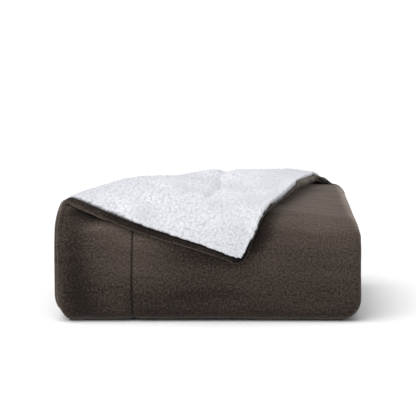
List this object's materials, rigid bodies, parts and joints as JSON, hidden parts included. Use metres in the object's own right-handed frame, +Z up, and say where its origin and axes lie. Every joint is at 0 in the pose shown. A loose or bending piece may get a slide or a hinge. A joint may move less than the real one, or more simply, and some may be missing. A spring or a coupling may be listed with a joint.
{
  "type": "throw blanket",
  "caption": "Folded throw blanket with a dark brown plush face and a white curly-pile back, one corner turned over on top.",
  "frame": {"origin": "middle of the folded blanket's footprint, on the surface it lies on", "axes": "+X along the folded blanket's length, to the right as seen from the front roll; +Y from the front roll to the back; +Z up"},
  "size_m": [0.435, 0.3104, 0.1969],
  "materials": {
    "brown_plush": "short velvety polyester plush, dark brown, matt with a soft sheen along the nap",
    "white_sherpa": "curly sheared pile in small nubs, cool white, fully matt"
  },
  "bodies": {
    "root": {"plush_face": "brown_plush", "sherpa_back": "white_sherpa"}
  },
  "joints": []
}
